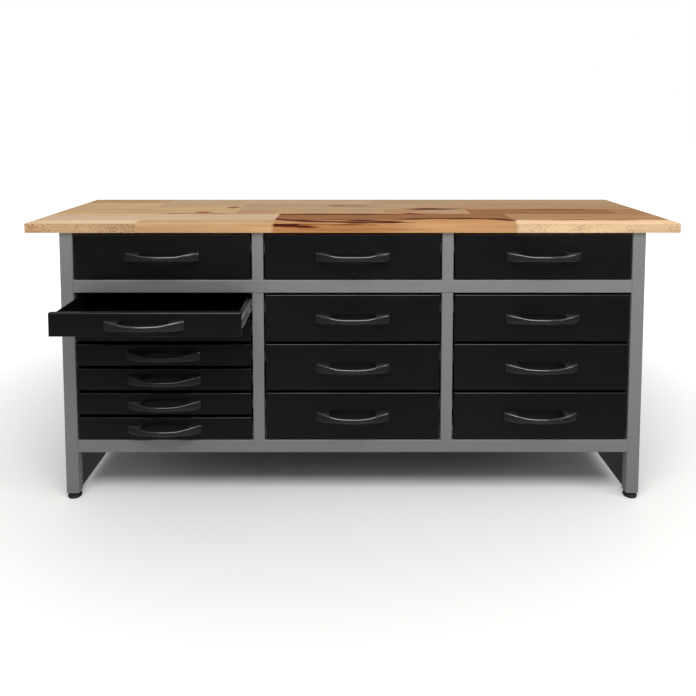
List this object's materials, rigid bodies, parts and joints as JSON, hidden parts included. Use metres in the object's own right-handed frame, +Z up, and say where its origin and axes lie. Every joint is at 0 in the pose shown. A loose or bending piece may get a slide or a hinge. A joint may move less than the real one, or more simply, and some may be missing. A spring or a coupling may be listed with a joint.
{
  "type": "workbench with drawers",
  "caption": "Workbench with a laminated beech top on a folded steel frame, drawers in three columns on ball-bearing slides, bow handles and levelling feet.",
  "frame": {"origin": "on the floor, under the middle of the worktop", "axes": "+X to the right along the worktop, +Y to the back, +Z up; the drawers open towards -Y"},
  "size_m": [2, 0.825, 0.875],
  "materials": {
    "beech": "oiled, satin",
    "grey_frame": "powder-coated, fine texture, satin",
    "black_sheet": "powder-coated, satin",
    "zinc": "zinc-plated, bright",
    "handle_plastic": "moulded, satin",
    "foot_plastic": "moulded, matte"
  },
  "bodies": {
    "root": {"worktop": "beech", "left_leg_frame": "grey_frame", "right_leg_frame": "grey_frame", "left_side_panel": "black_sheet", "right_side_panel": "black_sheet", "left_partition": "grey_frame", "right_partition": "grey_frame", "middle_rail": "grey_frame", "bottom_rail": "grey_frame", "rear_panel": "black_sheet", "cabinet_runners": "zinc"},
    "top_drawer_left": {"top_drawer_left_box": "black_sheet", "top_drawer_left_handle": "handle_plastic", "top_drawer_left_runners": "zinc"},
    "top_drawer_middle": {"top_drawer_middle_box": "black_sheet", "top_drawer_middle_handle": "handle_plastic", "top_drawer_middle_runners": "zinc"},
    "top_drawer_right": {"top_drawer_right_box": "black_sheet", "top_drawer_right_handle": "handle_plastic", "top_drawer_right_runners": "zinc"},
    "left_drawer_1": {"left_drawer_1_box": "black_sheet", "left_drawer_1_handle": "handle_plastic", "left_drawer_1_runners": "zinc"},
    "left_drawer_2": {"left_drawer_2_box": "black_sheet", "left_drawer_2_handle": "handle_plastic", "left_drawer_2_runners": "zinc"},
    "left_drawer_3": {"left_drawer_3_box": "black_sheet", "left_drawer_3_handle": "handle_plastic", "left_drawer_3_runners": "zinc"},
    "left_drawer_4": {"left_drawer_4_box": "black_sheet", "left_drawer_4_handle": "handle_plastic", "left_drawer_4_runners": "zinc"},
    "left_drawer_5": {"left_drawer_5_box": "black_sheet", "left_drawer_5_handle": "handle_plastic", "left_drawer_5_runners": "zinc"},
    "left_drawer_6": {"left_drawer_6_box": "black_sheet", "left_drawer_6_handle": "handle_plastic", "left_drawer_6_runners": "zinc"},
    "middle_drawer_1": {"middle_drawer_1_box": "black_sheet", "middle_drawer_1_handle": "handle_plastic", "middle_drawer_1_runners": "zinc"},
    "middle_drawer_2": {"middle_drawer_2_box": "black_sheet", "middle_drawer_2_handle": "handle_plastic", "middle_drawer_2_runners": "zinc"},
    "middle_drawer_3": {"middle_drawer_3_box": "black_sheet", "middle_drawer_3_handle": "handle_plastic", "middle_drawer_3_runners": "zinc"},
    "right_drawer_1": {"right_drawer_1_box": "black_sheet", "right_drawer_1_handle": "handle_plastic", "right_drawer_1_runners": "zinc"},
    "right_drawer_2": {"right_drawer_2_box": "black_sheet", "right_drawer_2_handle": "handle_plastic", "right_drawer_2_runners": "zinc"},
    "right_drawer_3": {"right_drawer_3_box": "black_sheet", "right_drawer_3_handle": "handle_plastic", "right_drawer_3_runners": "zinc"},
    "foot_front_left": {"foot_front_left": "foot_plastic"},
    "foot_front_right": {"foot_front_right": "foot_plastic"},
    "foot_rear_left": {"foot_rear_left": "foot_plastic"},
    "foot_rear_right": {"foot_rear_right": "foot_plastic"}
  },
  "joints": [
    {"name": "top_drawer_left_slide", "type": "slide", "parent": "root", "child": "top_drawer_left", "axis": [0, -1, 0], "range_m": [0, 0.375]},
    {"name": "top_drawer_middle_slide", "type": "slide", "parent": "root", "child": "top_drawer_middle", "axis": [0, -1, 0], "range_m": [0, 0.375]},
    {"name": "top_drawer_right_slide", "type": "slide", "parent": "root", "child": "top_drawer_right", "axis": [0, -1, 0], "range_m": [0, 0.375]},
    {"name": "left_drawer_1_slide", "type": "slide", "parent": "root", "child": "left_drawer_1", "axis": [0, -1, 0], "range_m": [-0.19, 0.185]},
    {"name": "left_drawer_2_slide", "type": "slide", "parent": "root", "child": "left_drawer_2", "axis": [0, -1, 0], "range_m": [0, 0.375]},
    {"name": "left_drawer_3_slide", "type": "slide", "parent": "root", "child": "left_drawer_3", "axis": [0, -1, 0], "range_m": [0, 0.375]},
    {"name": "left_drawer_4_slide", "type": "slide", "parent": "root", "child": "left_drawer_4", "axis": [0, -1, 0], "range_m": [0, 0.375]},
    {"name": "left_drawer_5_slide", "type": "slide", "parent": "root", "child": "left_drawer_5", "axis": [0, -1, 0], "range_m": [0, 0.375]},
    {"name": "left_drawer_6_slide", "type": "slide", "parent": "root", "child": "left_drawer_6", "axis": [0, -1, 0], "range_m": [0, 0.375]},
    {"name": "middle_drawer_1_slide", "type": "slide", "parent": "root", "child": "middle_drawer_1", "axis": [0, -1, 0], "range_m": [0, 0.375]},
    {"name": "middle_drawer_2_slide", "type": "slide", "parent": "root", "child": "middle_drawer_2", "axis": [0, -1, 0], "range_m": [0, 0.375]},
    {"name": "middle_drawer_3_slide", "type": "slide", "parent": "root", "child": "middle_drawer_3", "axis": [0, -1, 0], "range_m": [0, 0.375]},
    {"name": "right_drawer_1_slide", "type": "slide", "parent": "root", "child": "right_drawer_1", "axis": [0, -1, 0], "range_m": [0, 0.375]},
    {"name": "right_drawer_2_slide", "type": "slide", "parent": "root", "child": "right_drawer_2", "axis": [0, -1, 0], "range_m": [0, 0.375]},
    {"name": "right_drawer_3_slide", "type": "slide", "parent": "root", "child": "right_drawer_3", "axis": [0, -1, 0], "range_m": [0, 0.375]},
    {"name": "foot_front_left_screw", "type": "slide", "parent": "root", "child": "foot_front_left", "axis": [0, 0, -1], "range_m": [-0.002, 0.015]},
    {"name": "foot_front_right_screw", "type": "slide", "parent": "root", "child": "foot_front_right", "axis": [0, 0, -1], "range_m": [-0.002, 0.015]},
    {"name": "foot_rear_left_screw", "type": "slide", "parent": "root", "child": "foot_rear_left", "axis": [0, 0, -1], "range_m": [-0.002, 0.015]},
    {"name": "foot_rear_right_screw", "type": "slide", "parent": "root", "child": "foot_rear_right", "axis": [0, 0, -1], "range_m": [-0.002, 0.015]}
  ]
}
